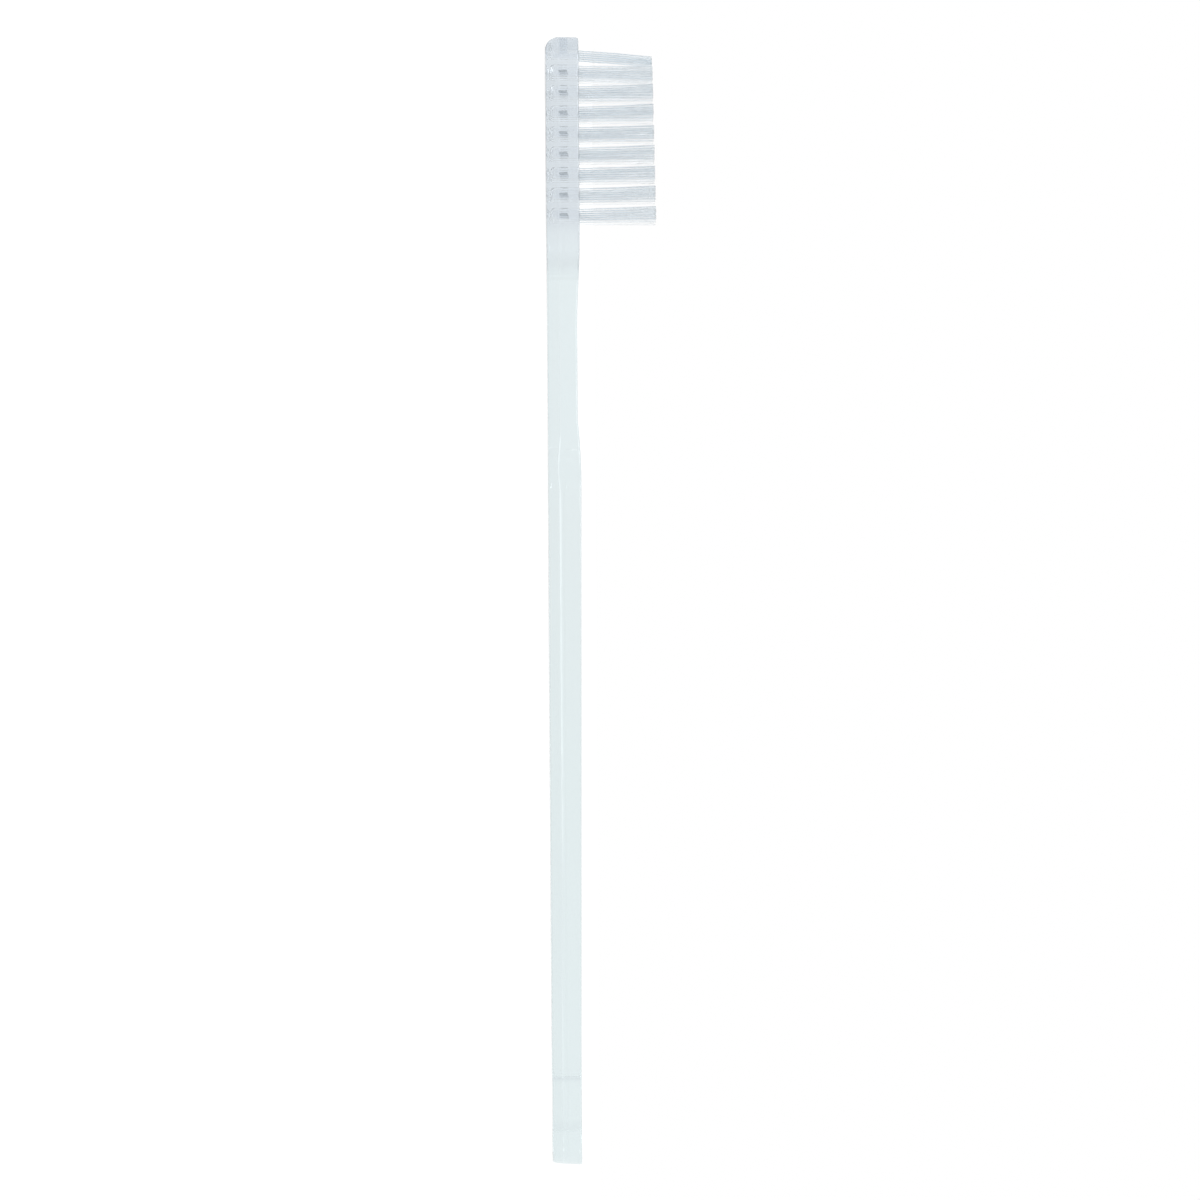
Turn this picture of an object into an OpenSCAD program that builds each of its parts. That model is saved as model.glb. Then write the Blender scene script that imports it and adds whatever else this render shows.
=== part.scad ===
// A small clear toothbrush, lying on its flat back with the tufts up.
// The head's tip points to -X and the tail to +X. The origin is on the flat back,
// halfway along the length. All lengths are in millimetres.

/* [Body] */
// Length from the head's tip to the tail's end
overall_l = 150; // [130:1:190]
// Height of the parting line above the flat back
parting_z = 1.65; // [1.2:0.05:2]
// Height of the narrow land that runs along the parting line
parting_land = 0.2; // [0.1:0.02:0.4]
// Draft of the sides above and below the parting line, in degrees
draft = 4; // [1:0.5:7]
// Round along both back edges
back_edge_r = 0.5; // [0.2:0.05:0.8]
// Round along both front edges
front_edge_r = 0.35; // [0.15:0.05:0.6]

/* [Head] */
// Plastic left between the bottom of a tuft hole and the flat back
head_floor = 0.57; // [0.45:0.01:1.2]
// Plastic left between an outer tuft hole and the head's side
side_wall = 1.4; // [1:0.05:2]
// Plastic left between the last tuft hole and the shoulder
end_wall = 1.4; // [0.6:0.05:2]
// Corner radius of the head's tip, seen from the front
tip_corner_r = 3; // [2:0.1:3.4]
// Radius that rounds the tip up from the flat back
tip_back_r = 2; // [1:0.05:2.6]
// Radius where the tip meets the front face
tip_front_r = 0.6; // [0.2:0.05:0.9]

/* [Neck] */
// Length over which the head narrows to the neck
shoulder_l = 6.5; // [4:0.25:9]
// Length of the narrow neck, up to the step
neck_l = 18.5; // [13:0.5:30]
// Width of the neck
neck_w = 6; // [4.6:0.1:8]
// Thickness of the neck
neck_t = 3.96; // [3.2:0.02:4.6]
// Length over which the thickness falls from the head to the neck
neck_fall_l = 13; // [8:0.5:20]
// Length of the step where the neck thickens into the grip
step_l = 8.5; // [5:0.5:14]
// How far past the start of the step the neck starts to widen
flare_lag = 2.5; // [0:0.25:6]
// Length over which the neck widens into the grip
flare_l = 9.5; // [6:0.5:16]

/* [Grip] */
// Width of the grip where the flare ends
grip_w = 10.2; // [8:0.1:13]
// Thickness of the grip where the step ends
grip_t = 4.39; // [3.6:0.02:5.6]
// Width at the tail
tail_w = 9.6; // [8:0.1:12]
// Thickness at the tail
tail_t = 3.88; // [3.2:0.02:5]
// Length at the tail whose thickness doesn't change
tail_flat_l = 16; // [14:0.5:24]
// Corner radius of the tail, seen from the front
tail_corner_r = 4; // [2:0.1:4.6]
// Round round the tail's end edge
tail_edge_r = 0.5; // [0.15:0.05:0.6]
// How much further the tail's end reaches at the front than at the back
tail_lean = 0.28; // [0:0.02:0.6]

/* [Hang slot] */
// Length of the slot near the tail
slot_l = 7.5; // [6:0.1:9]
// Width of the slot
slot_w = 4.8; // [4.4:0.1:5.6]
// Distance from the slot's middle to the tail's end
slot_from_end = 8.3; // [7.5:0.1:9.5]
// Bevel round both mouths of the slot
slot_bevel = 0.4; // [0.1:0.05:0.6]

/* [Tuft layout] */
// Rows of tufts along the head
rows = 9; // [6:1:11]
// Columns of tufts across the head
columns = 3; // [3:2:3]
// Distance from the head's tip to the first row
first_row = 2.2; // [2:0.05:3]
// Distance from the first row to the second
first_gap = 2.52; // [2.3:0.01:3.2]
// Distance between the other rows
row_pitch = 2.71; // [2.4:0.01:3.2]
// Distance between columns
column_pitch = 2.6; // [2.3:0.05:3]
// Diameter of a tuft hole
hole_d = 1.6; // [1.4:0.02:1.8]
// Depth of a tuft hole below the front face
hole_depth = 3.8; // [3.4:0.05:4.2]

/* [Tufts] */
// Free length of the tufts in the first row
free_l_tip = 9.8; // [8:0.1:13]
// Free length of the tufts in the last row
free_l_neck = 10.18; // [8:0.1:13]
// Width across one strand
strand_w = 0.2; // [0.16:0.01:0.22]
// Diameter of the circle that a tuft's strands spread to at their ends
tuft_end_d = 1.75; // [1.5:0.05:2.1]
// How far the first tuft's end leans towards the tail
first_lean = 0.75; // [0:0.05:1]
// How far the second row's ends lean towards the tail
second_lean = 0.32; // [0:0.02:0.5]
// How far the other rows' ends lean towards the tip
tip_lean = 0.1; // [0:0.01:0.2]
// How far the tufts' ends lean to either side, at most
side_lean = 0.08; // [0:0.01:0.15]
// Clearance between a tuft's root and its hole
root_fit = 0.02; // [0.01:0.005:0.04]

/* [Anchors] */
// Thickness of an anchor
anchor_t = 0.25; // [0.18:0.01:0.32]
// Height of an anchor along its hole
anchor_h = 1.07; // [0.8:0.01:1.3]
// How far each end of an anchor bites into the wall of its hole
anchor_bite = 0.15; // [0.08:0.01:0.25]
// Depth of an anchor's upper edge below the front face
anchor_depth = 1.6; // [1.2:0.01:1.8]
// Turn of the anchors away from straight across the head, in degrees
anchor_turn = 7; // [0:1:60]
// Clearance round an anchor
anchor_fit = 0.01; // [0.005:0.005:0.02]

/* [Hidden] */
over = 0.5;             // overrun of a cut past the face that it opens
bore_sides = 32;        // sides of a tuft hole
root_sides = 12;        // sides of a tuft's root
slot_sides = 64;        // sides of a slot's round end
corner_steps = 3;       // steps round each long edge
tip_steps = 8;          // rings round the tip and round the tail
blend_steps = 7;        // rings along each blend
least_ring_gap = 0.03;  // rings closer together than this are one
keep_share = 0.95;      // a round takes at most this share of its wall
inner_ring_share = 0.5; // place of the inner strands between the middle and the outer ones
inner_strands = 5;
outer_strands = 10;
strand_sides = 4;
lean_turn = 137;        // degrees between one tuft's side lean and the next one's, as on a wave

head_t = head_floor + hole_depth;
head_w = (columns - 1) * column_pitch + hole_d + 2 * side_wall;
head_l = first_row + first_gap + (rows - 2) * row_pitch + hole_d / 2 + end_wall;
neck_end = head_l + shoulder_l + neck_l;
grip_start = neck_end + step_l;
flare_start = neck_end + flare_lag;
taper_end = overall_l - tail_flat_l;
land_low = parting_z - parting_land / 2;
land_high = parting_z + parting_land / 2;
hole_bottom = head_t - hole_depth;
anchor_l = hole_d + 2 * anchor_bite;
anchor_top = head_t - anchor_depth;
root_d = hole_d - 2 * root_fit;
root_ring_d = root_d * cos(180 / root_sides) - (strand_w + root_fit) * sqrt(2);
outer_column = (columns - 1) / 2;

// Each tuft as [row, column], rows from the tip and columns about the middle one.
// The first row has its middle tuft alone, because the tip's corners are round there.
PLACES = [
    for (row = [0 : rows - 1], column = [-outer_column : outer_column])
        if (row > 0 || column == 0) [row, column]
];

function tuft_name(place) =
    str("tuft_row_", place[0] + 1, ["_right", "_middle", "_left"][place[1] + outer_column]);

// Place of a row on the X axis, rows counted from the head's tip
function row_x(row) =
    first_row + (row > 0 ? first_gap + (row - 1) * row_pitch : 0) - overall_l / 2;

// Smooth rise from 0 to 1 while s goes from a to b
function rise(s, a, b) = let (u = max(0, min(1, (s - a) / (b - a)))) u * u * (3 - 2 * u);

// Rise from 0 to 1 that starts at once and ends smoothly
function quick_rise(s, a, b) = let (u = max(0, min(1, (s - a) / (b - a)))) u * (2 - u);

function mix(a, b, share) = a + (b - a) * share;

// How far a corner of radius r stands back from its wall at distance s from the end
function corner(r, s) = s >= r ? 0 : r - sqrt(max(0, r * r - (r - s) * (r - s)));

// Half the body's width on the parting line, at distance s from the tip
function half_w(s) =
    mix(
        mix(head_w, neck_w, rise(s, head_l, head_l + shoulder_l)),
        mix(grip_w, tail_w, rise(s, flare_start + flare_l, overall_l)),
        rise(s, flare_start, flare_start + flare_l)
    ) / 2
    - corner(tip_corner_r, s)
    - corner(tail_corner_r, overall_l - s);

// Height of the front face, and of the back face, at distance s from the tip
function front_z(s) =
    mix(
        mix(head_t, neck_t, rise(s, head_l, head_l + neck_fall_l)),
        mix(grip_t, tail_t, max(0, min(1, (s - grip_start) / (taper_end - grip_start)))),
        quick_rise(s, neck_end, grip_start)
    )
    - corner(tip_front_r, s)
    - corner(tail_edge_r, overall_l - s);

function back_z(s) =
    min(keep_share * land_low, corner(tip_back_r, s)) + corner(tail_edge_r, overall_l - s);

// Quarter round from the direction a, in degrees, about the centre [y, z]
function quarter(y, z, ry, rz, a) = [
    for (k = [0 : corner_steps])
        [y + ry * cos(a + 90 * k / corner_steps), z + rz * sin(a + 90 * k / corner_steps)]
];

// One side of the body's cross-section, from the back face's edge to the front face's
function half_section(s) = let (
    w = half_w(s),
    back = back_z(s),
    front = front_z(s),
    low_r = min(back_edge_r, keep_share * (land_low - back)),
    high_r = min(front_edge_r, keep_share * (front - land_high)),
    low_y = w - (land_low - back - low_r) * tan(draft) - back_edge_r,
    high_y = w - (front - land_high - high_r) * tan(draft) - front_edge_r
) concat(
    quarter(low_y, back + low_r, back_edge_r, low_r, -90),
    [[w, land_low], [w, land_high]],
    quarter(high_y, front - high_r, front_edge_r, high_r, 0)
);

// The whole cross-section as points in space, one closed ring
function ring(s) = let (
    half = half_section(s),
    last = len(half) - 1,
    lean = tail_lean * rise(s, overall_l - tail_corner_r, overall_l)
) [
    for (k = [0 : 2 * last + 1]) let (
        p = k <= last ? half[k] : half[2 * last + 1 - k],
        side = k <= last ? 1 : -1
    ) [s - overall_l / 2 + lean * (p[1] / tail_t - 1), side * p[0], p[1]]
];

// Distances from the tip at which the body has a ring
function end_stops(r) = [for (k = [0 : tip_steps]) r * (1 - cos(90 * k / tip_steps))];
function blend_stops(a, l) = [for (k = [0 : blend_steps]) a + l * k / blend_steps];

function quick_sort(list) = len(list) < 2 ? list : let (
    pivot = list[floor(len(list) / 2)]
) concat(
    quick_sort([for (v = list) if (v < pivot) v]),
    [pivot],
    quick_sort([for (v = list) if (v > pivot) v])
);

ALL_STOPS = quick_sort(concat(
    end_stops(tip_corner_r),
    [tip_front_r],
    blend_stops(head_l, shoulder_l),
    [for (v = blend_stops(head_l, neck_fall_l)) if (v > head_l + shoulder_l) v],
    blend_stops(neck_end, step_l),
    blend_stops(flare_start, flare_l),
    [taper_end],
    [for (v = end_stops(tail_corner_r)) overall_l - v],
    [overall_l - tail_edge_r]
));

STOPS = [
    for (i = [0 : len(ALL_STOPS) - 1])
        if (i == 0 || ALL_STOPS[i] - ALL_STOPS[i - 1] > least_ring_gap) ALL_STOPS[i]
];

// Solid through a list of rings with as many points each, closed at both ends
module loft(rings) {
    n = len(rings[0]);
    last = len(rings) - 1;
    polyhedron(
        points = [for (r = rings, p = r) p],
        faces = concat(
            [[for (k = [0 : n - 1]) k]],
            [for (i = [0 : last - 1], k = [0 : n - 1], half = [0, 1]) let (
                a = i * n + k,
                b = i * n + (k + 1) % n
            ) half == 0 ? [a, a + n, b] : [b, a + n, b + n]],
            [[for (k = [n - 1 : -1 : 0]) last * n + k]]
        )
    );
}

// Through slot with round ends and a bevel at each mouth
module hang_slot() {
    run = slot_l - slot_w;
    translate([overall_l / 2 - slot_from_end, 0, 0]) {
        for (side = [-1, 1])
            translate([side * run / 2, 0, 0]) {
                translate([0, 0, -over])
                    cylinder(h = tail_t + 2 * over, d = slot_w, $fn = slot_sides);
                cylinder(h = slot_bevel, d1 = slot_w + 2 * slot_bevel, d2 = slot_w,
                    $fn = slot_sides);
                translate([0, 0, tail_t - slot_bevel])
                    cylinder(h = slot_bevel, d1 = slot_w, d2 = slot_w + 2 * slot_bevel,
                        $fn = slot_sides);
            }
        rotate([90, 0, 90])
            linear_extrude(height = run, center = true)
                polygon([
                    for (side = [-1, 1]) each [
                        for (p = [
                            [slot_w / 2 + slot_bevel, -over],
                            [slot_w / 2 + slot_bevel, 0],
                            [slot_w / 2, slot_bevel],
                            [slot_w / 2, tail_t - slot_bevel],
                            [slot_w / 2 + slot_bevel, tail_t],
                            [slot_w / 2 + slot_bevel, tail_t + over]
                        ]) [side * p[0], side > 0 ? p[1] : tail_t - p[1]]
                    ]
                ]);
    }
}

// The plate that holds a tuft down, larger all round by fit
module anchor_plate(fit) {
    translate([0, 0, anchor_top - anchor_h / 2])
        rotate([0, 0, anchor_turn])
            cube([anchor_t + 2 * fit, anchor_l + 2 * fit, anchor_h + 2 * fit], center = true);
}

module at_place(place) {
    translate([row_x(place[0]), place[1] * column_pitch, 0]) children();
}

// One strand, from its middle a on the root to its middle b at its free end
module strand(a, b) {
    turn = 360 / strand_sides;
    r = strand_w / 2 / cos(turn / 2);
    around = [for (k = [0 : strand_sides - 1])
        r * [cos(turn * (k + 0.5)), sin(turn * (k + 0.5)), 0]];
    low = [for (v = around) a + v];
    high = [for (v = around) b + v];
    polyhedron(
        points = concat(low, high),
        faces = concat(
            [for (k = [1 : strand_sides - 2]) [0, k, k + 1]],
            [for (k = [0 : strand_sides - 1]) [k, k + strand_sides, (k + 1) % strand_sides]],
            [for (k = [0 : strand_sides - 1])
                [(k + 1) % strand_sides, k + strand_sides,
                    (k + 1) % strand_sides + strand_sides]],
            [for (k = [1 : strand_sides - 2])
                [strand_sides, strand_sides + k + 1, strand_sides + k]]
        )
    );
}

// How far a tuft's free end stands from straight above its root, as [x, y]
function lean(place) = place[0] == 0 ? [first_lean, 0] : [
    place[0] == 1 ? second_lean : -tip_lean,
    side_lean * sin(lean_turn * (place[0] * columns + place[1]))
];

module tuft(place) {
    free_l = mix(free_l_tip, free_l_neck, place[0] / (rows - 1));
    end_z = head_t + free_l;
    shift = lean(place);
    spots = concat(
        [[0, 0]],
        [for (k = [0 : inner_strands - 1]) inner_ring_share
            * [cos(360 * k / inner_strands), sin(360 * k / inner_strands)]],
        [for (k = [0 : outer_strands - 1])
            [cos(360 * (k + 0.5) / outer_strands), sin(360 * (k + 0.5) / outer_strands)]]
    );
    color([0.82, 0.87, 0.9])
        at_place(place) {
            difference() {
                translate([0, 0, hole_bottom + root_fit])
                    cylinder(h = hole_depth - root_fit, d = root_d, $fn = root_sides);
                anchor_plate(anchor_fit);
            }
            for (spot = spots)
                strand(
                    [spot[0] * root_ring_d / 2, spot[1] * root_ring_d / 2, head_t],
                    [shift[0] + spot[0] * tuft_end_d / 2, shift[1] + spot[1] * tuft_end_d / 2,
                        end_z]
                );
        }
}

module handle() {
    color([0.8, 0.91, 0.92, 0.6])
        difference() {
            loft([for (s = STOPS) ring(s)]);
            for (place = PLACES)
                at_place(place) {
                    translate([0, 0, hole_bottom])
                        cylinder(h = hole_depth + over, d = hole_d, $fn = bore_sides);
                    anchor_plate(anchor_fit);
                }
            hang_slot();
        }
}

module anchors() {
    color([0.62, 0.65, 0.67])
        for (place = PLACES) at_place(place) anchor_plate(0);
}

handle();
anchors();
for (place = PLACES)
    tuft(place);
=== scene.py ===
import math

import bpy
import numpy as np
from mathutils import Matrix, Vector


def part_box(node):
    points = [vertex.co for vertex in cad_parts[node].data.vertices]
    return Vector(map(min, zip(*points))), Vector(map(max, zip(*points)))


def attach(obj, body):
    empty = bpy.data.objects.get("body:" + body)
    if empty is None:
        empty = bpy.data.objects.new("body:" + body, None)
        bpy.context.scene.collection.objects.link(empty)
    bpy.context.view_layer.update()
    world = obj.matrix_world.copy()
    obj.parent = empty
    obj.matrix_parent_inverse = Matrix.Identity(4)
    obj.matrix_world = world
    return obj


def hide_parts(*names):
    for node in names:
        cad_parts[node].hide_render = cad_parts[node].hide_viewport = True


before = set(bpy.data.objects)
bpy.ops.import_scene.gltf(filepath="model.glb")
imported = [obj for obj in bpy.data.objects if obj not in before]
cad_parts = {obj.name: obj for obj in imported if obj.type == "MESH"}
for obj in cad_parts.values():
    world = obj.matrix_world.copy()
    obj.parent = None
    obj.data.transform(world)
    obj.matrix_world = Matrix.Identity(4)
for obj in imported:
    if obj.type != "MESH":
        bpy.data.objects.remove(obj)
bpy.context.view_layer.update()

# A clear toothbrush that lies on its flat back: the head's tip at -X, the tufts up along +Z.
# Pieces are worked out in millimetres and degrees, and their meshes are made in metres.
mm = 0.001
rng = np.random.default_rng(27)
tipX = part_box("handle")[0].x / mm
smoothUpTo = 40


def rise(s, a, b):
    # smoothstep: u squared times (3 - 2u), where u runs from 0 to 1 between a and b
    u = np.clip((s - a) / (b - a), 0, 1)
    return u * u * (3 - 2 * u)


def quickRise(s, a, b):
    # u times (2 - u): starts at full slope and ends level
    u = np.clip((s - a) / (b - a), 0, 1)
    return u * (2 - u)


def mix(a, b, share):
    # the value that lies this share of the way from a to b
    return a + (b - a) * share


def cornerDrop(r, s):
    # how far a quarter circle of radius r stands back from its wall at distance s from the end
    return np.where(s >= r, 0.0, r - np.sqrt(np.maximum(0, r * r - (r - s) ** 2)))


def makeMesh(name, points, faces, smoothAngle=smoothUpTo):
    # puts points (millimetres) and faces into a mesh object at the origin, smooth up to smoothAngle
    mesh = bpy.data.meshes.new(name)
    mesh.from_pydata(np.asarray(points) * mm, [], faces)
    mesh.update()
    mesh.polygons.foreach_set("use_smooth", np.ones(len(mesh.polygons), bool))
    mesh.set_sharp_from_angle(angle=math.radians(smoothAngle))
    piece = bpy.data.objects.new(name, mesh)
    bpy.context.scene.collection.objects.link(piece)
    return piece


def tubeFaces(rings, around):
    # quads between rings of points with as many points each, and one polygon at each end
    i, k = np.meshgrid(np.arange(rings - 1), np.arange(around), indexing="ij")
    a, b = i * around + k, i * around + (k + 1) % around
    quads = np.stack([a, b, b + around, a + around], -1).reshape(-1, 4).tolist()
    last = (rings - 1) * around
    return quads + [list(range(around - 1, -1, -1)), list(range(last, last + around))]


def repeatFaces(faces, size, count):
    # the same faces for each of count copies of a shape that has size points
    return [[start + k for k in face] for start in range(0, size * count, size) for face in faces]


def dress(piece, materials, index=0):
    # gives a piece its materials, and each face the number of its own one
    piece.data.materials.clear()
    for material in materials:
        piece.data.materials.append(material)
    numbers = np.full(len(piece.data.polygons), index, np.int32)
    piece.data.polygons.foreach_set("material_index", numbers)


# Handle

handleShape = {
    "length": 150.0,
    "partingHeight": 1.65,
    "partingLand": 0.2,
    "partingDip": 0.2,        # the parting line dips where the handle widens
    "partingDipAt": (51.5, 58.4, 62.2),    # start, deepest place and end of the dip, from the tip
    "partingFalls": (         # depth, start and end of each lasting fall
        (0.16, 51.5, 60.0),
        (0.14, 104.0, 128.0),
    ),
    "draft": 4.0,
    "backEdgeRadius": 0.5,
    "frontEdgeRadius": 0.35,
    "headFloor": 0.57,
    "sideWall": 1.4,
    "endWall": 1.4,
    "tipCornerRadius": 3.0,
    "tipBackRadius": 2.0,
    "tipFrontRadius": 0.6,
    "shoulderLength": 6.5,
    "neckLength": 18.5,
    "neckWidth": 6.0,
    "neckThickness": 3.96,
    "neckFallLength": 13.0,
    "stepLength": 8.5,
    "flareLag": 2.5,
    "flareLength": 9.5,
    "gripWidth": 10.2,
    "gripThickness": 4.39,
    "tailWidth": 9.6,
    "tailThickness": 3.88,
    "tailFlatLength": 16.0,
    "tailCornerRadius": 4.0,
    "tailEdgeRadius": 0.5,
    "tailLean": 0.28,
    "wallShare": 0.95,        # a round takes at most this share of its wall
    "edgeSteps": 7,           # facets round each long edge
    "endSteps": 26,           # rings round the tip and the tail
    "tailEdgeSkip": 4,        # the tail's edge takes every fourth of them
    "blendPitch": 0.4,        # distance between rings where the shape changes
    "blendMargins": (1, 6),   # and how far that goes on before the shoulder and past the flare
    "plainPitch": 2.0,        # distance where it hardly changes
    "leastPitch": 0.004,
    "supportShare": 0.05,     # extra loops this far in from each crease keep the flats flat
    "creaseShare": 0.004,     # the same beside the parting land
}
tuftLayout = {
    "rows": 9,
    "columns": 3,
    "firstRow": 2.2,
    "firstGap": 2.52,
    "rowPitch": 2.71,
    "columnPitch": 2.6,
    "holeDiameter": 1.6,
    "holeDepth": 3.8,
}


def handleSizes(h, t):
    # works out the sizes that follow from the shape and the tuft layout
    d = dict(h)
    d["headThickness"] = h["headFloor"] + t["holeDepth"]
    d["headWidth"] = (t["columns"] - 1) * t["columnPitch"] + t["holeDiameter"] + 2 * h["sideWall"]
    lastRow = t["firstRow"] + t["firstGap"] + (t["rows"] - 2) * t["rowPitch"]
    d["headLength"] = lastRow + t["holeDiameter"] / 2 + h["endWall"]
    d["shoulderEnd"] = d["headLength"] + h["shoulderLength"]
    d["neckEnd"] = d["shoulderEnd"] + h["neckLength"]
    d["gripStart"] = d["neckEnd"] + h["stepLength"]
    d["flareStart"] = d["neckEnd"] + h["flareLag"]
    d["flareEnd"] = d["flareStart"] + h["flareLength"]
    d["taperEnd"] = h["length"] - h["tailFlatLength"]
    return d


def partingLine(s, d):
    # lower and upper edge of the land: a level line with one smooth dip and some smooth falls
    start, deepest, end = d["partingDipAt"]
    dip = d["partingDip"] * rise(s, start, deepest) * (1 - rise(s, deepest, end))
    middle = d["partingHeight"] - dip
    for depth, fallStart, fallEnd in d["partingFalls"]:
        middle = middle - depth * rise(s, fallStart, fallEnd)
    return middle - d["partingLand"] / 2, middle + d["partingLand"] / 2


def handleOutline(s, d):
    # half width on the parting line, front height and back height at distance s from the tip:
    # head, neck and grip values mixed by rises, less the corner circles at both ends
    fromTail = d["length"] - s
    narrow = mix(d["headWidth"], d["neckWidth"], rise(s, d["headLength"], d["shoulderEnd"]))
    wide = mix(d["gripWidth"], d["tailWidth"], rise(s, d["flareEnd"], d["length"]))
    halfWidth = mix(narrow, wide, rise(s, d["flareStart"], d["flareEnd"])) / 2
    halfWidth -= cornerDrop(d["tipCornerRadius"], s) + cornerDrop(d["tailCornerRadius"], fromTail)
    fall = rise(s, d["headLength"], d["headLength"] + d["neckFallLength"])
    thin = mix(d["headThickness"], d["neckThickness"], fall)
    taper = np.clip((s - d["gripStart"]) / (d["taperEnd"] - d["gripStart"]), 0, 1)
    thick = mix(d["gripThickness"], d["tailThickness"], taper)
    front = mix(thin, thick, quickRise(s, d["neckEnd"], d["gripStart"]))
    front -= cornerDrop(d["tipFrontRadius"], s) + cornerDrop(d["tailEdgeRadius"], fromTail)
    back = np.minimum(d["wallShare"] * partingLine(s, d)[0], cornerDrop(d["tipBackRadius"], s))
    back = back + cornerDrop(d["tailEdgeRadius"], fromTail)
    return halfWidth, front, back


def handleStations(d):
    # distances from the tip at which the body has a ring: cosine steps at both ends
    turn = 1 - np.cos(np.linspace(0, math.pi / 2, d["endSteps"] + 1))
    before, after = d["blendMargins"]
    s = np.sort(np.concatenate([
        d["tipCornerRadius"] * turn,
        d["tipFrontRadius"] * turn,
        d["tipBackRadius"] * turn,
        d["length"] - d["tailCornerRadius"] * turn,
        d["length"] - d["tailEdgeRadius"] * turn[::d["tailEdgeSkip"]],
        np.arange(d["headLength"] - before, d["flareEnd"] + after, d["blendPitch"]),
        np.arange(d["tipCornerRadius"] + before, d["length"] - d["tailCornerRadius"], d["plainPitch"]),
    ]))
    return s[np.concatenate([[True], np.diff(s) > d["leastPitch"]])]


def handleRings(s, d):
    # one closed section for each station: flat back, round, drafted wall, parting land,
    # drafted wall, round, flat front, and the same again mirrored
    w, front, back = handleOutline(s, d)
    landBottom, landTop = partingLine(s, d)
    n, lean = d["edgeSteps"], math.radians(d["draft"])
    lowR = np.minimum(d["backEdgeRadius"], d["wallShare"] * (landBottom - back))
    highR = np.minimum(d["frontEdgeRadius"], d["wallShare"] * (front - landTop))
    lowY = w - (landBottom - back - lowR) * math.tan(lean) - d["backEdgeRadius"]
    highY = w - (front - landTop - highR) * math.tan(lean) - d["frontEdgeRadius"]
    lowTurn = np.linspace(-math.pi / 2, -lean, n + 1)[:, None]
    highTurn = np.linspace(lean, math.pi / 2, n + 1)[:, None]
    low = [lowY + d["backEdgeRadius"] * np.cos(lowTurn), back + lowR + lowR * np.sin(lowTurn)]
    high = [highY + d["frontEdgeRadius"] * np.cos(highTurn), front - highR + highR * np.sin(highTurn)]

    def between(a, b, shares):
        # points on the straight line from a to b at the given shares
        shares = np.array(shares)[:, None]
        return [a[0] + (b[0] - a[0]) * shares, a[1] + (b[1] - a[1]) * shares]

    near, crease = d["supportShare"], d["creaseShare"]
    landLow, landHigh = [w, landBottom], [w, landTop]
    lowEnd, highStart = [low[0][-1], low[1][-1]], [high[0][0], high[1][0]]
    backMiddle, frontMiddle = [0 * w, back], [0 * w, front]
    parts = [
        between(backMiddle, [low[0][0], low[1][0]], [0.5, 1 - near]),
        low,
        between(lowEnd, landLow, [near, 1 - crease]),
        between(landLow, landHigh, [0, 2 * near, 1 - 2 * near, 1]),
        between(landHigh, highStart, [crease, 1 - near]),
        high,
        between([high[0][-1], high[1][-1]], frontMiddle, [near, 0.5]),
    ]
    y = np.concatenate([p[0] for p in parts])
    z = np.concatenate([p[1] for p in parts])
    y, z = np.concatenate([y, -y[::-1]]), np.concatenate([z, z[::-1]])
    tailShift = d["tailLean"] * rise(s, d["length"] - d["tailCornerRadius"], d["length"])
    x = tipX + s + tailShift * (z / d["tailThickness"] - 1)
    return np.stack([x, y, z], -1).transpose(1, 0, 2)


def tuftPlaces(t):
    # every tuft as (row, column), with the first row's middle tuft alone
    reach = (t["columns"] - 1) // 2
    grid = [(row, column) for row in range(t["rows"]) for column in range(-reach, reach + 1)]
    return [p for p in grid if p[0] > 0 or p[1] == 0]


def tuftRoot(place, t):
    # x and y of a tuft's hole, from the first row, the first gap and the pitches
    row, column = place
    x = tipX + t["firstRow"] + (t["firstGap"] + (row - 1) * t["rowPitch"] if row else 0)
    return np.array([x, column * t["columnPitch"]])


def tuftName(place):
    # rows count from the tip, and right is the side at -Y
    return f"tuft_row_{place[0] + 1}_{['right', 'middle', 'left'][place[1] + 1]}"


cuts = {
    "sides": 44,
    "bottomRadius": 0.55,     # round at the bottom of each tuft hole
    "bottomSteps": 8,
    "mouthBevel": 0.09,       # the mouth that the anchoring tool leaves
    "emptyHeight": 0.6,       # height of the air left under the folded nylon
    "overrun": 0.6,           # how far the cutters reach past the faces
    "slotLength": 7.5,
    "slotWidth": 4.8,
    "slotFromEnd": 8.3,
    "slotEdgeRadius": 0.4,
    "slotEdgeSteps": 8,
    "slotEdgeStart": 0.012,   # the round starts this deep, where it isn't level with the face
    "anchorThickness": 0.25,
    "anchorHeight": 1.07,
    "anchorBite": 0.15,
    "anchorDepth": 1.6,
    "anchorTurn": 7.0,
    "anchorFit": 0.01,
}


def anchorAxes(c):
    # directions square to the anchors' plates and along them
    a = math.radians(c["anchorTurn"])
    return np.array([math.cos(a), math.sin(a), 0]), np.array([-math.sin(a), math.cos(a), 0])


def atEveryRoot(points, faces, t):
    # the same shape again at the root of each tuft
    roots = np.array([[*tuftRoot(place, t), 0] for place in tuftPlaces(t)])
    return (points + roots[:, None]).reshape(-1, 3), repeatFaces(faces, len(points), len(roots))


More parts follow.
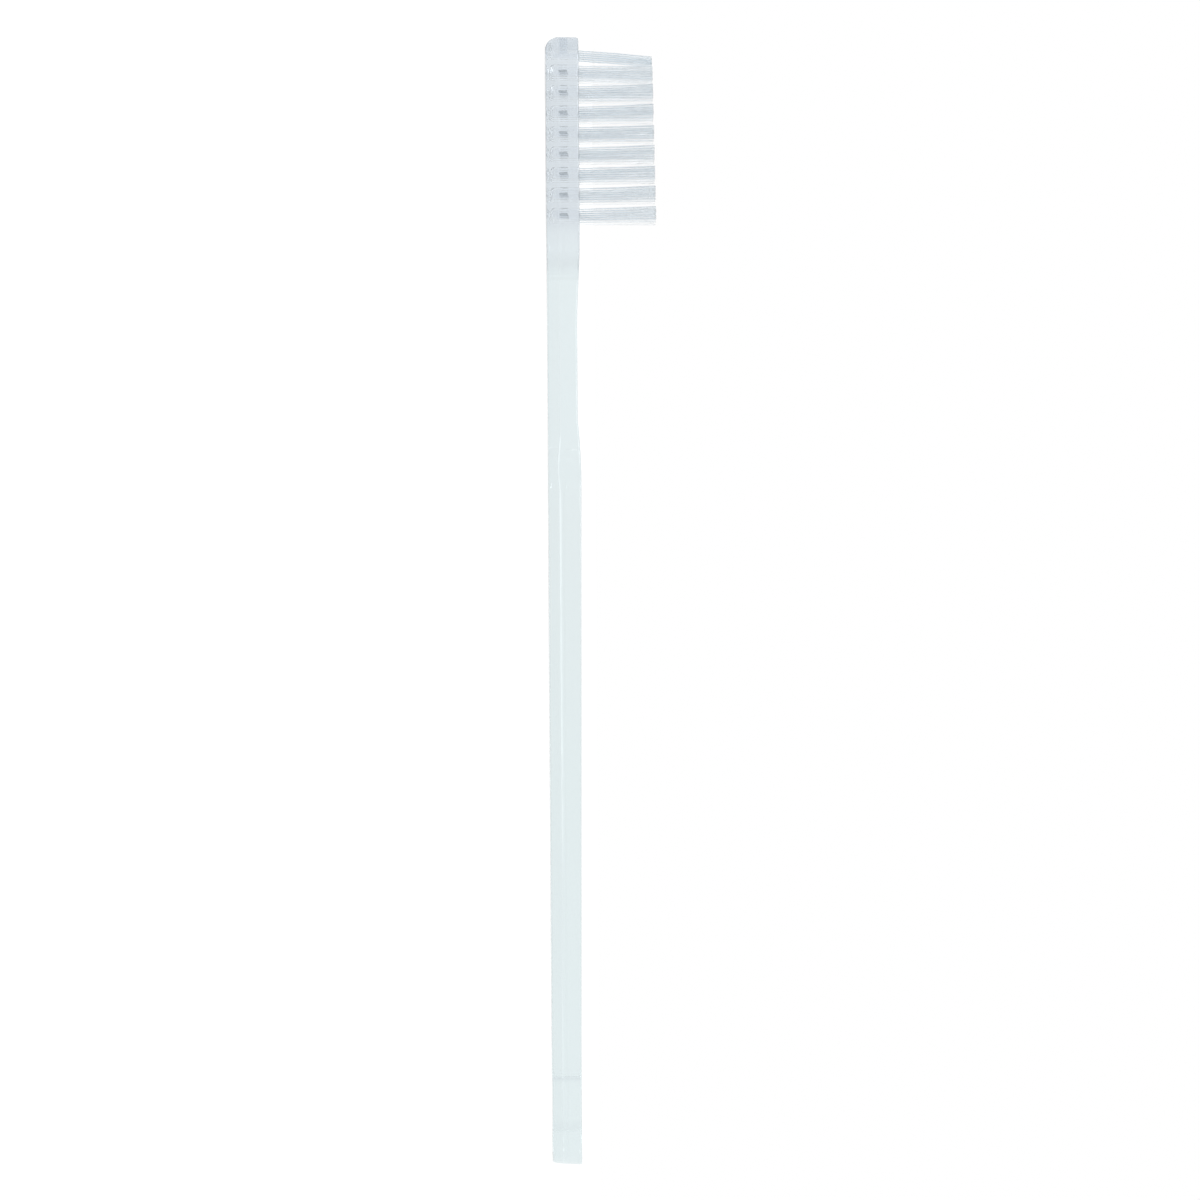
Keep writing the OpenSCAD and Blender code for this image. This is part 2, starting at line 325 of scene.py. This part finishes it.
def holeCutter(d, t, c):
    # a profile turned about each hole's axis: flat bottom, quarter round, straight wall, bevelled
    # mouth; faces get material 0 below the nylon, 1 where it presses on the wall, 2 at the anchor
    r, top, low, bevel = t["holeDiameter"] / 2, d["headThickness"], c["bottomRadius"], c["mouthBevel"]
    bottom, plateTop = top - t["holeDepth"], top - c["anchorDepth"]
    turn = np.linspace(-math.pi / 2, 0, c["bottomSteps"] + 1)
    levels = [bottom + c["emptyHeight"], plateTop - c["anchorHeight"], plateTop]
    radius = np.concatenate([
        r - low + low * np.cos(turn),
        [r, r, r, r, r + bevel / 2, r + bevel + c["overrun"] / 4],
    ])
    height = np.concatenate([
        bottom + low + low * np.sin(turn), levels,
        [top - 1.5 * bevel, top - bevel / 2, top + c["overrun"] / 2],
    ])
    middles = np.append((height[1:] + height[:-1]) / 2, [bottom, top])
    zones = np.array([0, 1, 2, 1])[np.digitize(middles, levels)]
    zones = np.concatenate([np.repeat(zones[:-2], c["sides"]), zones[-2:]])
    angle = np.arange(c["sides"]) * 2 * math.pi / c["sides"]
    ring = np.stack([np.outer(radius, np.cos(angle)), np.outer(radius, np.sin(angle)),
                     np.outer(height, np.ones_like(angle))], -1).reshape(-1, 3)
    piece = makeMesh("holeCutter", *atEveryRoot(ring, tubeFaces(len(radius), c["sides"]), t))
    return piece, np.tile(zones, len(tuftPlaces(t)))


def pocketCutter(d, t, c):
    # one turned box for each anchor, larger by the fit
    fit = 2 * c["anchorFit"]
    length = t["holeDiameter"] + 2 * c["anchorBite"] + fit
    size = np.array([c["anchorThickness"] + fit, length, c["anchorHeight"] + fit])
    square = ((-1, -1), (1, -1), (1, 1), (-1, 1))
    corners = np.array([[x, y, z] for z in (-1, 1) for x, y in square]) * size / 2
    turned = corners @ np.array([*anchorAxes(c), [0, 0, 1]])
    turned[:, 2] += d["headThickness"] - c["anchorDepth"] - c["anchorHeight"] / 2
    return makeMesh("pocketCutter", *atEveryRoot(turned, tubeFaces(2, len(square)), t))


def slotCutter(d, c):
    # a stadium outline carried through the tail, wider at both mouths by a quarter round; faces
    # get material 0 in the mouths and 1 on the straight wall between them
    r, run = c["slotWidth"] / 2, c["slotLength"] - c["slotWidth"]
    steps = np.linspace(0, c["slotEdgeRadius"], c["slotEdgeSteps"] + 1)
    depth = np.concatenate([[-c["overrun"]], steps])
    height = np.concatenate([depth, d["tailThickness"] - depth[::-1]])
    inside = np.maximum(np.concatenate([depth, depth[::-1]]), 0) + c["slotEdgeStart"]
    grow = cornerDrop(c["slotEdgeRadius"], inside)
    angle = (np.arange(c["sides"] * 2) + 0.5) * math.pi / c["sides"]
    side = np.sign(np.cos(angle)) * run / 2
    x = side + np.outer(r + grow, np.cos(angle))
    y = np.outer(r + grow, np.sin(angle))
    middle = tipX + d["length"] - c["slotFromEnd"]
    points = np.stack([middle + x, y, np.outer(height, np.ones_like(angle))], -1).reshape(-1, 3)
    straight = np.arange(len(height) - 1) == len(depth) - 1
    zones = np.append(np.repeat(straight, len(angle)), [False, False]).astype(int)
    return makeMesh("slotCutter", points, tubeFaces(len(height), len(angle))), zones


def cutAway(piece, cutter):
    # boolean difference, applied, after which the cutter is gone; the cut takes its materials
    modifier = piece.modifiers.new("cut", "BOOLEAN")
    modifier.object, modifier.operation, modifier.solver = cutter, "DIFFERENCE", "EXACT"
    modifier.material_mode = "TRANSFER"
    evaluated = piece.evaluated_get(bpy.context.evaluated_depsgraph_get())
    mesh = bpy.data.meshes.new_from_object(evaluated)
    piece.modifiers.clear()
    old, piece.data = piece.data, mesh
    bpy.data.meshes.remove(old)
    bpy.data.meshes.remove(cutter.data)


def makeHandle(d, outside, holeWalls, slotWalls):
    # the loft through the rings, less the tuft holes, the anchors' pockets and the slot
    rings = handleRings(handleStations(d), d)
    piece = makeMesh("handle_clear", rings.reshape(-1, 3), tubeFaces(*rings.shape[:2]))
    dress(piece, [outside])
    holes, holeZones = holeCutter(d, tuftLayout, cuts)
    pockets = pocketCutter(d, tuftLayout, cuts)
    slot, slotZones = slotCutter(d, cuts)
    cutters = (
        (holes, holeWalls, holeZones),
        (pockets, holeWalls[-1:], 0),
        (slot, slotWalls, slotZones),
    )
    for cutter, walls, zones in cutters:
        dress(cutter, walls, zones)
        cutAway(piece, cutter)
    piece.data.set_sharp_from_angle(angle=math.radians(smoothUpTo))
    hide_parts("handle")
    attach(piece, "root")
    return piece


# Tufts

filament = {
    "diameter": 0.175,
    "heldDiameter": 0.163,    # where it is squeezed in its hole
    "sides": 5,
    "smoothUpTo": 80,
    "endWidth": 0.62,         # each end narrows to this share of the radius
    "endLength": 0.4,         # over this share of it, which rounds it
    "rowStep": 0.167,         # distance between layers of filaments, away from the anchor
    "sideStep": 0.193,        # distance between filaments in a layer
    "freeStep": 0.218,        # distance between layers where they have closed up above the anchor
    "layers": (7, 6, 5),      # filaments in each layer, on each side of the anchor
    "anchorGap": 0.01,
    "foldDepths": (0.3, 0.66, 1.0),    # how far each layer dips under the anchor
    "foldTurns": (45, 90, 135),        # places on the fold
    "legShares": (1, 0.55, 0),         # places on the free length, from the tip to the face
    "opening": 1.26,          # how far the closed bundle opens at the hole's mouth
    "spread": 1.45,           # and at its tips
    "spreadRange": 0.03,
    "spreadPower": 2.5,       # how late along the length it spreads
    "firstOpening": 1.2,      # the same for the first tuft, which stands alone
    "firstSpread": 1.03,
    "leans": (0.88, 0.32, -0.02, -0.12),    # of rows one to four towards the tail, then as the last
    "leanRange": 0.04,
    "leanPower": 1.15,
    "wander": 0.045,          # how far single tips stray
    "wanderPower": 1.6,
    "tipGap": 0.1,            # share of a diameter that the tips stop short of the trimmed level
    "trim": 0.07,             # how much shorter a single filament may be
    "greysWithPaintedShade": (0.55, 0.17, 0.03),    # painted shade, greyest at -Y: of the columns from -Y to +Y, 0 clear and 1 milky
    "firstGreyPaintedShade": 0.8,         # the same for the first tuft, painted darkest
    "greyRange": 0.3,
}


def filamentLayers(c, f):
    # for each filament: distance from the anchor's middle beside the plate and closed up above
    # it, place along the plate, and depth of its fold
    away, closed, along, dip = [], [], [], []
    first = c["anchorThickness"] / 2 + f["anchorGap"] + f["diameter"] / 2
    for layer, count in enumerate(f["layers"]):
        along.append((np.arange(count) - (count - 1) / 2) * f["sideStep"])
        away.append(np.full(count, first + layer * f["rowStep"]))
        closed.append(np.full(count, (layer + 0.5) * f["freeStep"]))
        dip.append(np.full(count, f["foldDepths"][layer]))
    return [np.concatenate(values) for values in (away, closed, along, dip)]


def filamentPaths(place, d, t, c, f):
    # each filament goes down one side of the anchor, round under it as half an ellipse and up
    # the other side; above the anchor the two halves close up, and above the face the distance
    # from the tuft's middle grows from opening to spread by a power of the share of the length
    row = place[0]
    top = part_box(tuftName(place))[1].z / mm
    face = d["headThickness"]
    plateTop = face - c["anchorDepth"]
    plateLow = plateTop - c["anchorHeight"]
    away, closed, along, dip = filamentLayers(c, f)
    number = len(away)
    legShares = np.array(f["legShares"])
    foldTurn = np.radians(f["foldTurns"])
    opening = f["opening"] if row else f["firstOpening"]
    spread = f["spread"] + rng.normal(0, f["spreadRange"]) if row else f["firstSpread"]
    lean = np.array([f["leans"][min(row, len(f["leans"]) - 1)], rng.normal(0, f["leanRange"])])
    lean = lean + (rng.normal(0, f["leanRange"], 2) if row else 0)
    normal, cross = (axis[:2] for axis in anchorAxes(c))
    legs = []
    for side in (1, -1):
        held = side * away[:, None] * normal + along[:, None] * cross
        free = side * closed[:, None] * normal + along[:, None] * cross
        stray = rng.normal(0, f["wander"], (number, 2))
        tip = top - f["tipGap"] * f["diameter"] - rng.random(number) * f["trim"]
        share = legShares[None, :, None]
        grown = free[:, None, :] * mix(opening, spread, share ** f["spreadPower"])
        leant = grown + lean * share ** f["leanPower"]
        flat = leant + stray[:, None, :] * share ** f["wanderPower"]
        height = face + (tip[:, None] - face) * legShares
        high = np.concatenate([flat, height[..., None]], -1)
        still = [np.column_stack([held, np.full(number, z)]) for z in (plateTop, plateLow)]
        legs.append(np.concatenate([high, np.stack(still, 1)], 1))
    across = away[:, None] * np.cos(foldTurn)
    fold = across[..., None] * normal + along[:, None, None] * cross
    low = plateLow - dip[:, None] * np.sin(foldTurn)
    fold = np.concatenate([fold, low[..., None]], -1)
    paths = np.concatenate([legs[0], fold, legs[1][:, ::-1]], 1)
    paths[..., :2] += tuftRoot(place, t)
    return paths


def sweepFilaments(paths, c, f):
    # a ring of points round each path point, square to the path, with one smaller ring past
    # each end; returns the points, the faces and the number of points in a filament
    r, sides, free = f["diameter"] / 2, f["sides"], len(f["legShares"])
    ahead = np.gradient(paths, axis=1)
    ahead /= np.linalg.norm(ahead, axis=-1, keepdims=True)
    sideways = np.broadcast_to(anchorAxes(c)[1], ahead.shape)
    sideways = sideways - ahead * np.sum(ahead * sideways, -1, keepdims=True)
    sideways = sideways / np.linalg.norm(sideways, axis=-1, keepdims=True)
    third = np.cross(ahead, sideways)
    angle = np.arange(sides) * 2 * math.pi / sides
    ring = np.cos(angle)[:, None] * sideways[..., None, :]
    ring = ring + np.sin(angle)[:, None] * third[..., None, :]
    widths = np.full(paths.shape[1], f["heldDiameter"] / 2)
    widths[:free] = widths[-free:] = r
    body = paths[..., None, :] + widths[:, None, None] * ring
    ends = [paths[:, k, None] + f["endWidth"] * r * ring[:, k] for k in (0, -1)]
    body[:, 0] += f["endLength"] * r * ahead[:, 0, None]
    body[:, -1] -= f["endLength"] * r * ahead[:, -1, None]
    rings = np.concatenate([ends[0][:, None], body, ends[1][:, None]], 1)
    size = rings.shape[1] * sides
    return rings.reshape(-1, 3), repeatFaces(tubeFaces(rings.shape[1], sides), size, len(paths)), size


def creaseEnds(mesh, rings, sides):
    # marks the edges round the second ring from each end, so that long smooth sides stay straight
    pairs = np.empty(2 * len(mesh.edges), np.int32)
    sharp = np.empty(len(mesh.edges), bool)
    mesh.edges.foreach_get("vertices", pairs)
    mesh.edges.foreach_get("use_edge_sharp", sharp)
    ring = pairs.reshape(-1, 2) // sides % rings
    sharp |= (ring[:, 0] == ring[:, 1]) & np.isin(ring[:, 0], (1, rings - 2))
    mesh.edges.foreach_set("use_edge_sharp", sharp)


def makeTuft(place, d, materials):
    # the swept filaments, each with one grey of its own about its column's, which is painted shade;
    # faces below the handle's front get the second material
    paths = filamentPaths(place, d, tuftLayout, cuts, filament)
    points, faces, size = sweepFilaments(paths, cuts, filament)
    name = tuftName(place)
    piece = makeMesh(name + "_filaments", points, faces, filament["smoothUpTo"])
    creaseEnds(piece.data, size // filament["sides"], filament["sides"])
    # the column's grey and the first tuft's grey are painted shade
    grey = filament["greysWithPaintedShade"][place[1] + 1] if place[0] else filament["firstGreyPaintedShade"]
    greysWithPaintedShade = np.clip(grey + filament["greyRange"] * (rng.random(len(paths)) - 0.5), 0, 1)
    shade = piece.data.attributes.new("filamentShade", "FLOAT", "POINT")
    shade.data.foreach_set("value", np.repeat(greysWithPaintedShade, size).astype(np.float32))
    middles = np.empty(3 * len(faces), np.float32)
    piece.data.polygons.foreach_get("center", middles)
    dress(piece, materials, middles[2::3] < d["headThickness"] * mm)
    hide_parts(name)
    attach(piece, "root")
    return piece


# Materials

def newMaterial(name):
    material = bpy.data.materials.new(name)
    material.use_nodes = True
    nodes, links = material.node_tree.nodes, material.node_tree.links
    return material, nodes, links, nodes["Principled BSDF"]


def addNode(nodes, kind, **values):
    node = nodes.new(kind)
    for name, value in values.items():
        setattr(node, name, value)
    return node


def feed(links, socket, value):
    # joins an output to the socket, or writes a plain value there
    if isinstance(value, bpy.types.NodeSocket):
        links.new(value, socket)
    else:
        socket.default_value = value


def addMath(nodes, links, operation, *values):
    node = addNode(nodes, "ShaderNodeMath", operation=operation)
    for socket, value in zip(node.inputs, values):
        feed(links, socket, value)
    return node.outputs[0]


def addMix(nodes, links, kind, share, a, b):
    # a mixed towards b by share
    node = addNode(nodes, "ShaderNodeMix", data_type=kind)
    for name, value in (("Factor", share), ("A", a), ("B", b)):
        feed(links, node.inputs[name], value)
    return node.outputs["Result"]


def mapRange(nodes, links, value, low, high, fromLow=0.3, fromHigh=0.7):
    # noise lies mostly between 0.3 and 0.7
    node = addNode(nodes, "ShaderNodeMapRange")
    node.inputs["From Min"].default_value = fromLow
    node.inputs["From Max"].default_value = fromHigh
    node.inputs["To Min"].default_value = low
    node.inputs["To Max"].default_value = high
    links.new(value, node.inputs["Value"])
    return node.outputs["Result"]


def addRamp(nodes, links, share, stops):
    # a colour ramp over share; each stop is a position and its colour or its grey
    ramp = addNode(nodes, "ShaderNodeValToRGB")
    elements = ramp.color_ramp.elements
    elements.remove(elements[-1])
    for number, (position, colour) in enumerate(stops):
        element = elements[0] if number == 0 else elements.new(position)
        element.position, element.color = position, (*np.broadcast_to(colour, 3), 1)
    links.new(share, ramp.inputs["Fac"])
    return ramp.outputs["Color"]


def addNoise(nodes, links, scale, detail=2, roughness=0.5):
    # noise on object coordinates that are stretched by scale
    place = addNode(nodes, "ShaderNodeTexCoord")
    mapping = addNode(nodes, "ShaderNodeMapping")
    mapping.inputs["Scale"].default_value = scale
    links.new(place.outputs["Object"], mapping.inputs["Vector"])
    noise = addNode(nodes, "ShaderNodeTexNoise")
    noise.inputs["Detail"].default_value = detail
    noise.inputs["Roughness"].default_value = roughness
    links.new(mapping.outputs["Vector"], noise.inputs["Vector"])
    return noise.outputs["Fac"]


def splitPlace(nodes, links, coordinates="Object"):
    # x, y and z as separate outputs
    place = addNode(nodes, "ShaderNodeTexCoord")
    parts = addNode(nodes, "ShaderNodeSeparateXYZ")
    links.new(place.outputs[coordinates], parts.inputs[0])
    return parts.outputs


plasticLook = {
    # tint of the light that has gone in and out again, at distances from the tip in millimetres,
    # with painted shade: greyer in the rounded tip, for the shade its round corner bends in, and
    # darker and bluer at the head, for the shade of the nylon and metal that the light passes there
    "tintsAndPaintedShade": (
        (2.0, (0.63, 0.69, 0.735)),
        (2.25, (0.69, 0.745, 0.79)),
        (3.8, (0.69, 0.745, 0.79)),
        (4.5, (0.665, 0.72, 0.765)),
        (24.8, (0.665, 0.72, 0.765)),
        (26.2, (0.74, 0.81, 0.84)),
        (29.0, (0.75, 0.82, 0.85)),
        (32.0, (0.76, 0.838, 0.855)),
        (58.0, (0.75, 0.828, 0.845)),
        (64.0, (0.742, 0.815, 0.828)),
        (100.0, (0.738, 0.82, 0.832)),
        (142.0, (0.745, 0.83, 0.845)),
    ),
    "ior": 1.57,
    "roughness": (0.015, 0.07),     # polished to slightly hazed
    "hazeScale": (60, 220, 220),    # cloudy patches, drawn out along the flow of the plastic
    "hazeDetail": 5,
    "hazeRoughness": 0.6,
    "waveScale": (35, 300, 300),
    "waveDepth": 0.000004,
}

# Nylon fills the holes and presses on their walls, so that light goes nearly straight through
# them. Below the nylon and beside the anchors it bends a little, which draws thin outlines.
holeWallLook = {**plasticLook, "tintsAndPaintedShade": ((0, (1, 1, 1)),)}
emptyWallLook = {**holeWallLook, "ior": 1.08}
pressedWallLook = {**holeWallLook, "ior": 1.02}
anchorWallLook = {**holeWallLook, "ior": 1.06}
slotMouthLook = {**plasticLook, "tintsAndPaintedShade": ((0, (0.98, 0.99, 0.99)),)}
slotWallLook = {
    **plasticLook,
    "ior": 1.05,
    "tintsAndPaintedShade": (                      # clear, and painted greyer at its round ends: painted shade for the dark bands they bend in
        (137.9, (0.94, 0.94, 0.95)),
        (138.2, (0.92, 0.92, 0.935)),
        (138.9, (1, 1, 1)),
        (144.1, (1, 1, 1)),
        (144.5, (0.95, 0.95, 0.955)),
        (145.1, (0.95, 0.95, 0.955)),
        (145.4, (0.99, 0.99, 0.99)),
    ),
}


def clearPlastic(name, look):
    # glass with a tint by place along the brush that carries painted shade, cloudy haze and very faint
    # waves
    material, nodes, links, shader = newMaterial(name)
    shader.inputs["Transmission Weight"].default_value = 1
    shader.inputs["IOR"].default_value = look["ior"]
    shader.inputs["Base Color"].default_value = (*look["tintsAndPaintedShade"][0][1], 1)
    if len(look["tintsAndPaintedShade"]) > 1:
        length = handleShape["length"]
        along = splitPlace(nodes, links)["X"]
        share = mapRange(nodes, links, along, 0, 1, tipX * mm, (tipX + length) * mm)
        stops = [(place / length, tint) for place, tint in look["tintsAndPaintedShade"]]
        links.new(addRamp(nodes, links, share, stops), shader.inputs["Base Color"])
    haze = addNoise(nodes, links, look["hazeScale"], look["hazeDetail"], look["hazeRoughness"])
    links.new(mapRange(nodes, links, haze, *look["roughness"]), shader.inputs["Roughness"])
    bump = addNode(nodes, "ShaderNodeBump")
    bump.inputs["Distance"].default_value = look["waveDepth"]
    links.new(addNoise(nodes, links, look["waveScale"]), bump.inputs["Height"])
    links.new(bump.outputs["Normal"], shader.inputs["Normal"])
    return material


nylonLook = {
    "clear": (0.99, 0.994, 0.997, 1),
    "milky": (0.902, 0.926, 0.942, 1),
    "ior": 1.22,
    "roughness": (0.0, 0.08),
    "streakScale": (900, 900, 120),
}
pressedNylonLook = {                # clearer where it is pressed together in its hole
    **nylonLook,
    "clear": (1, 1, 1, 1),
    "milky": (0.992, 0.994, 0.998, 1),
    "ior": 1.012,
}


def nylon(name, look):
    # glass from clear to milky by each filament's shade, with streaks along it
    material, nodes, links, shader = newMaterial(name)
    shader.inputs["Transmission Weight"].default_value = 1
    shader.inputs["IOR"].default_value = look["ior"]
    shade = addNode(nodes, "ShaderNodeAttribute", attribute_name="filamentShade").outputs["Fac"]
    tint = addMix(nodes, links, "RGBA", shade, look["clear"], look["milky"])
    links.new(tint, shader.inputs["Base Color"])
    streaks = addNoise(nodes, links, look["streakScale"])
    links.new(mapRange(nodes, links, streaks, *look["roughness"]), shader.inputs["Roughness"])
    return material


metalLook = {
    "bright": (0.66, 0.68, 0.7, 1),
    "dull": (0.56, 0.58, 0.6, 1),
    "tip": (0.86, 0.88, 0.91, 1),      # painted light: the anchor in the rounded tip is painted paler than the rest
    "paintedLightEnds": (-0.072, -0.071),       # x in metres between which it gives way to them
    "roughness": (0.07, 0.14),
    "grainScale": (2500, 2500, 250),   # fine lines along the drawn wire
    "grainDetail": 4,
}


def drawnMetal(name, look):
    # metal whose tint and roughness follow the grain, with painted light that makes it paler at the
    # brush's tip
    material, nodes, links, shader = newMaterial(name)
    shader.inputs["Metallic"].default_value = 1
    grain = addNoise(nodes, links, look["grainScale"], look["grainDetail"])
    tint = addMix(nodes, links, "RGBA", grain, look["bright"], look["dull"])
    along = mapRange(nodes, links, splitPlace(nodes, links)["X"], 0, 1, *look["paintedLightEnds"])
    links.new(addMix(nodes, links, "RGBA", along, look["tip"], tint), shader.inputs["Base Color"])
    links.new(mapRange(nodes, links, grain, *look["roughness"]), shader.inputs["Roughness"])
    return material


# Studio, in metres

studio = {
    "floorSize": 8.0,
    "floorDrop": 0.0001,       # keeps the floor just clear of the flat back
    "floorColour": (0.4, 0.4, 0.4, 1),
    "floorLift": 0.7,          # light added to the floor as the camera sees it, so that it shows white
    # the same as seen through the brush, at distances from its middle line: raised right under the
    # brush, which lightens the shadow seen through it, and raised on the far floor, which paints the
    # bright parting line as a highlight
    "headLifts": ((0.008, 0.68), (0.018, 0.6)),
    "handleLifts": ((0.008, 0.68), (0.018, 0.6), (0.09, 0.6), (0.125, 0.79)),
    # how far the handle's lifts take over from the head's, at places along x: the painted line is
    # strong along the grip, gone for a stretch, weak before the slot and gone past it
    "handleShares": (
        (-0.031, 0), (-0.027, 1), (0.037, 1), (0.047, 0),
        (0.062, 0), (0.067, 0.4), (0.081, 0.4), (0.087, 0),
    ),
    "liftReach": 0.2,          # length of both ramps
    "seenSky": 1.0,            # the background as it is seen, reflected or looked through to
    "zenith": 0.9,             # the same straight above, which draws the edges of clear plastic
    "zenithFrom": (0.2, 0.95),
    "litSky": 0.9,             # the background as it lights the object
    "lamps": (                 # direction, spread in degrees and strength
        ((-0.3, -0.5, 1.0), 30, 0.5),      # soft, above
        ((0.85, -0.5, 0.3), 12, 0.2),      # beyond the tail
    ),
}


def seenFactor(nodes, links):
    # whether a ray comes from the camera, and 1 for rays that see the surroundings from the
    # camera, by mirror or through glass, but 0 once a matt surface has scattered them
    path = addNode(nodes, "ShaderNodeLightPath").outputs
    seen = addMath(nodes, links, "MAXIMUM", path["Is Camera Ray"], path["Is Glossy Ray"])
    seen = addMath(nodes, links, "MAXIMUM", seen, path["Is Transmission Ray"])
    direct = addMath(nodes, links, "LESS_THAN", path["Diffuse Depth"], 0.5)
    return path["Is Camera Ray"], addMath(nodes, links, "MULTIPLY", seen, direct)


def makeWorld(look):
    # white as it is seen, a little less straight above, and dimmer as it lights the brush
    world = bpy.data.worlds.new("studio")
    world.use_nodes = True
    nodes, links = world.node_tree.nodes, world.node_tree.links
    background = nodes["Background"]
    background.inputs["Color"].default_value = (1, 1, 1, 1)
    camera, seen = seenFactor(nodes, links)
    up = splitPlace(nodes, links, "Generated")["Z"]
    sky = mapRange(nodes, links, up, look["seenSky"], look["zenith"], *look["zenithFrom"])
    sky = addMix(nodes, links, "FLOAT", camera, sky, look["seenSky"])
    level = addMix(nodes, links, "FLOAT", seen, look["litSky"], sky)
    links.new(level, background.inputs["Strength"])
    bpy.context.scene.world = world


def makeFloor(look):
    # a matt plane that also glows for rays that see it; through the brush the glow follows two
    # ramps over the distance from the middle line, mixed by the handle's share along x, and paints
    # light: a lighter shadow under the brush and the bright parting line
    half, low = look["floorSize"] / 2 / mm, -look["floorDrop"] / mm
    corners = [(-half, -half, low), (half, -half, low), (half, half, low), (-half, half, low)]
    floor = makeMesh("floor", corners, [(0, 1, 2, 3)])
    material, nodes, links, shader = newMaterial("pale_floor")
    nodes.remove(shader)
    matt = addNode(nodes, "ShaderNodeBsdfDiffuse")
    matt.inputs["Color"].default_value = look["floorColour"]
    camera, seen = seenFactor(nodes, links)
    place = splitPlace(nodes, links)
    reach = look["liftReach"]
    along = mapRange(nodes, links, place["X"], 0, 1, -reach / 2, reach / 2)
    stops = [(x / reach + 0.5, share) for x, share in look["handleShares"]]
    handleShare = addRamp(nodes, links, along, stops)
    away = mapRange(nodes, links, addMath(nodes, links, "ABSOLUTE", place["Y"]), 0, 1, 0, reach)
    lifts = [
        addRamp(nodes, links, away, [(distance / reach, lift) for distance, lift in look[name]])
        for name in ("headLifts", "handleLifts")
    ]
    lift = addMix(nodes, links, "FLOAT", handleShare, *lifts)
    lift = addMix(nodes, links, "FLOAT", camera, lift, look["floorLift"])
    glow = addNode(nodes, "ShaderNodeEmission")
    links.new(addMath(nodes, links, "MULTIPLY", seen, lift), glow.inputs["Strength"])
    both = addNode(nodes, "ShaderNodeAddShader")
    links.new(matt.outputs[0], both.inputs[0])
    links.new(glow.outputs[0], both.inputs[1])
    links.new(both.outputs[0], nodes["Material Output"].inputs["Surface"])
    dress(floor, [material])


def makeLamps(look):
    # each lamp is far away and wide, so its light is even and its shadows are soft
    for number, (direction, spread, strength) in enumerate(look["lamps"]):
        lamp = bpy.data.lights.new(f"lamp{number + 1}", "SUN")
        lamp.angle, lamp.energy = math.radians(spread), strength
        holder = bpy.data.objects.new(lamp.name, lamp)
        holder.rotation_euler = Vector(direction).to_track_quat("Z", "Y").to_euler()
        bpy.context.scene.collection.objects.link(holder)


view = {
    "distance": 0.4095,   # metres, as the next two
    "height": 0.00673,
    "along": -0.00018,
    "roll": -0.39,        # degrees, as the field of view
    "width": 22.13,
    "sensor": 36,
    "clip": (0.01, 50),
}


def makeCamera(v):
    # looks along +Y with the head up in the picture and the tufts to the right
    data = bpy.data.cameras.new("camera")
    data.sensor_fit, data.sensor_width = "HORIZONTAL", v["sensor"]
    data.angle = math.radians(v["width"])
    data.clip_start, data.clip_end = v["clip"]
    camera = bpy.data.objects.new("camera", data)
    r = math.radians(v["roll"])
    right = (-math.sin(r), 0, math.cos(r))
    up = (-math.cos(r), 0, -math.sin(r))
    away = (0, -1, 0)
    place = (v["along"], -v["distance"], v["height"])
    camera.matrix_world = Matrix([*zip(right, up, away, place), (0, 0, 0, 1)])
    bpy.context.scene.collection.objects.link(camera)
    bpy.context.scene.camera = camera


# Making

sizes = handleSizes(handleShape, tuftLayout)
handle = makeHandle(
    sizes,
    clearPlastic("clear_plastic_moulded", plasticLook),
    [
        clearPlastic("clear_plastic_below_nylon", emptyWallLook),
        clearPlastic("clear_plastic_against_nylon", pressedWallLook),
        clearPlastic("clear_plastic_beside_anchor", anchorWallLook),
    ],
    [
        clearPlastic("clear_plastic_slot_mouths", slotMouthLook),
        clearPlastic("clear_plastic_slot_walls", slotWallLook),
    ],
)
print("handle", len(handle.data.polygons), "faces")
nylons = [nylon("nylon_filament", nylonLook), nylon("nylon_pressed", pressedNylonLook)]
tufts = [makeTuft(place, sizes, nylons) for place in tuftPlaces(tuftLayout)]
print("tufts", len(tufts), "of", len(tufts[0].data.polygons), "faces")
dress(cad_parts["anchors"], [drawnMetal("drawn_anchor_metal", metalLook)])
print("anchors")
makeWorld(studio)
makeFloor(studio)
makeLamps(studio)
makeCamera(view)
scene = bpy.context.scene
scene.view_settings.view_transform = "Standard"
bounces = {"max": 64, "diffuse": 16, "transmission": 64, "glossy": 64}    # light crosses many walls
for kind, count in bounces.items():
    setattr(scene.cycles, kind + "_bounces", count)
print("studio")
